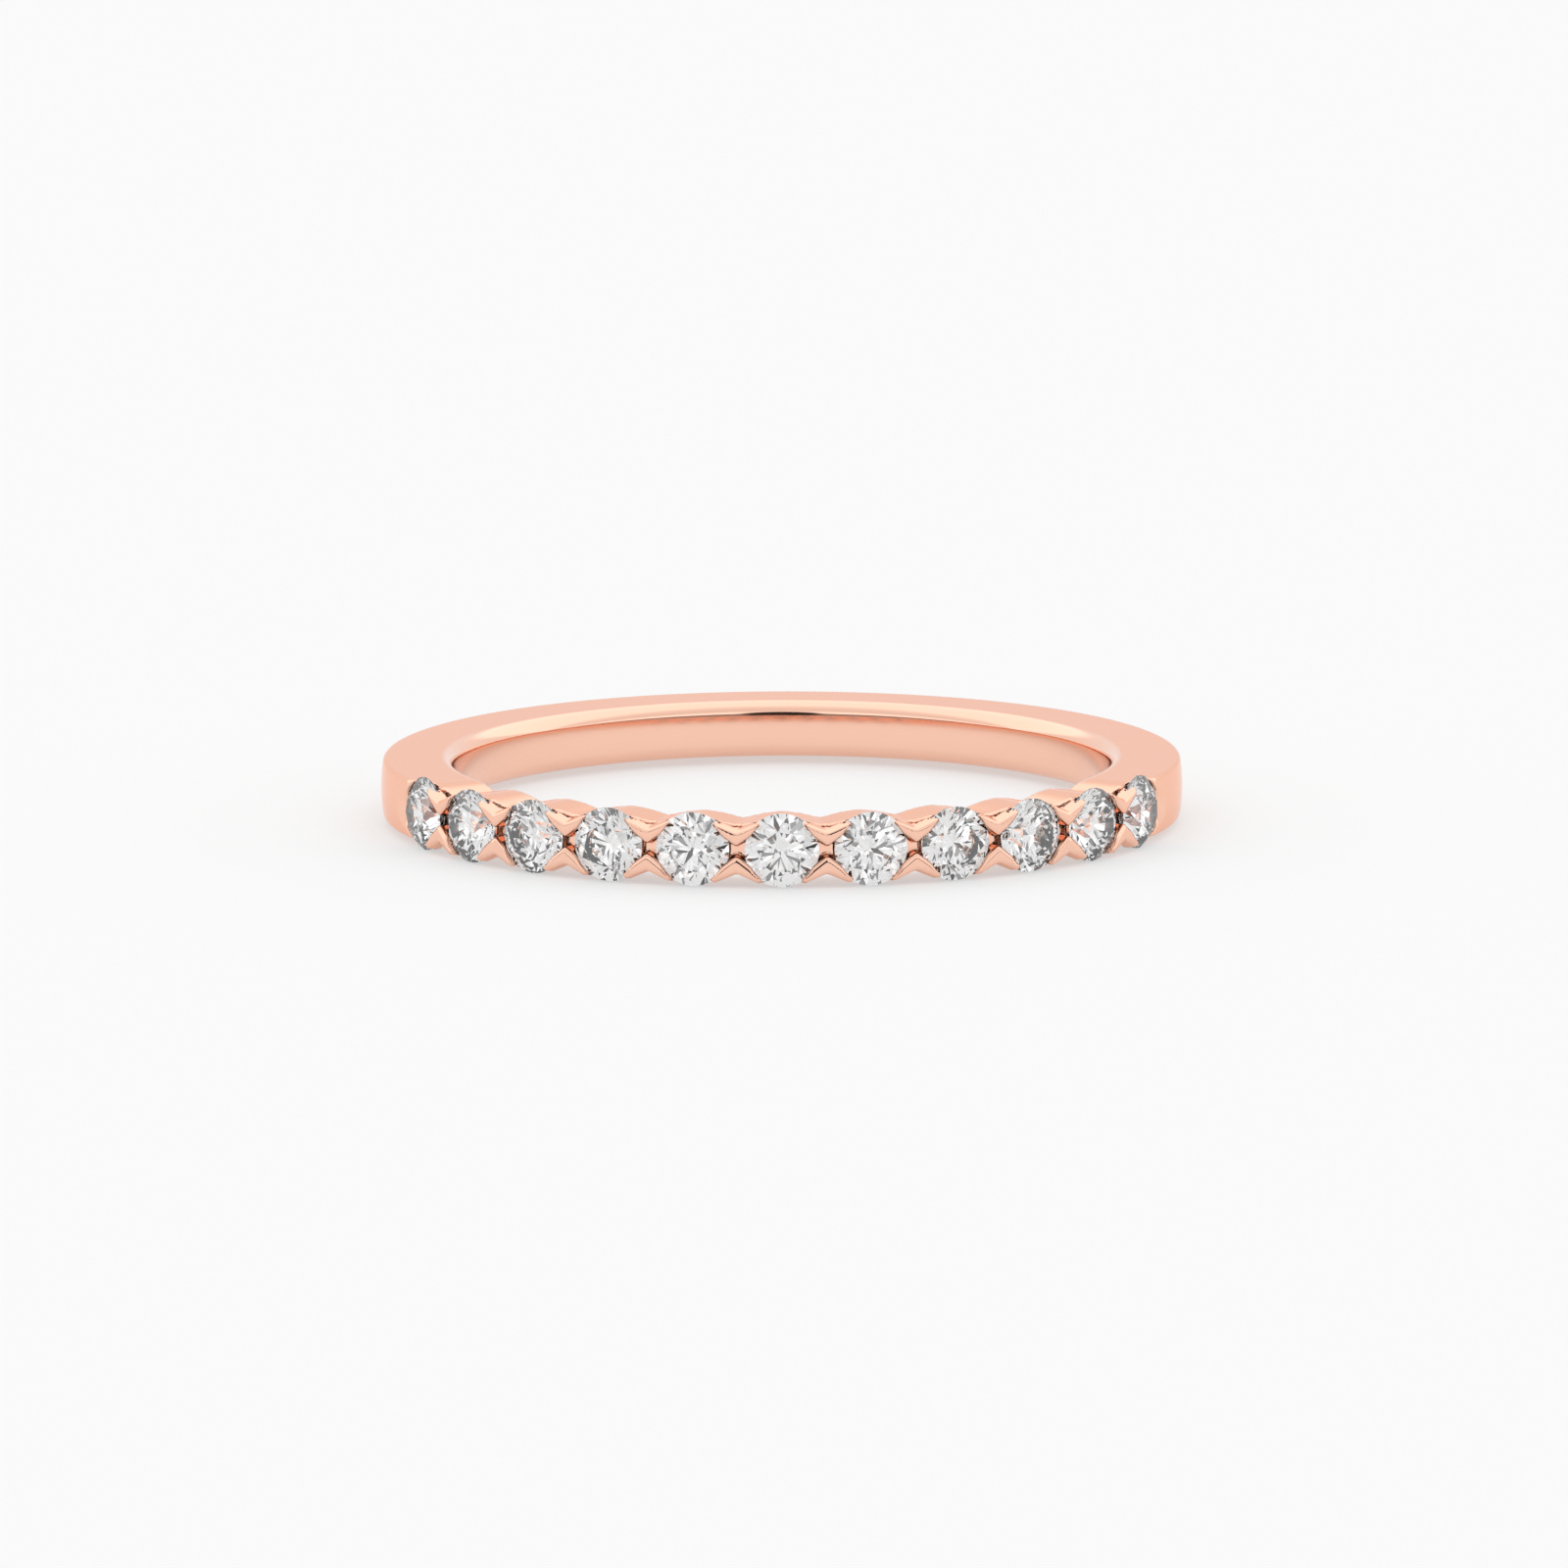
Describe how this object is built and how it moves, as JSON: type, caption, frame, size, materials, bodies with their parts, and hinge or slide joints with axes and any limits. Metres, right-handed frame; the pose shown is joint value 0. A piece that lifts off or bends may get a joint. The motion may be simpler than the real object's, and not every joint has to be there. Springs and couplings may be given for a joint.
{
  "type": "wedding band",
  "caption": "Slim half-eternity ring: a rounded gold band with a row of round brilliants in shared fishtail claws.",
  "frame": {"origin": "on the finger axis, in the plane that the stones' lower edges reach when the ring lies flat", "axes": "+Z along the finger axis, the ring lying flat; the row of stones faces -Y; +X to the right seen from the stones"},
  "size_m": [0.0202, 0.0203, 0.0018],
  "materials": {
    "rose_gold": "polished",
    "diamond": "gloss"
  },
  "bodies": {
    "root": {"band": "rose_gold", "stone_01": "diamond", "stone_02": "diamond", "stone_03": "diamond", "stone_04": "diamond", "stone_05": "diamond", "stone_06": "diamond", "stone_07": "diamond", "stone_08": "diamond", "stone_09": "diamond", "stone_10": "diamond", "stone_11": "diamond"}
  },
  "joints": []
}
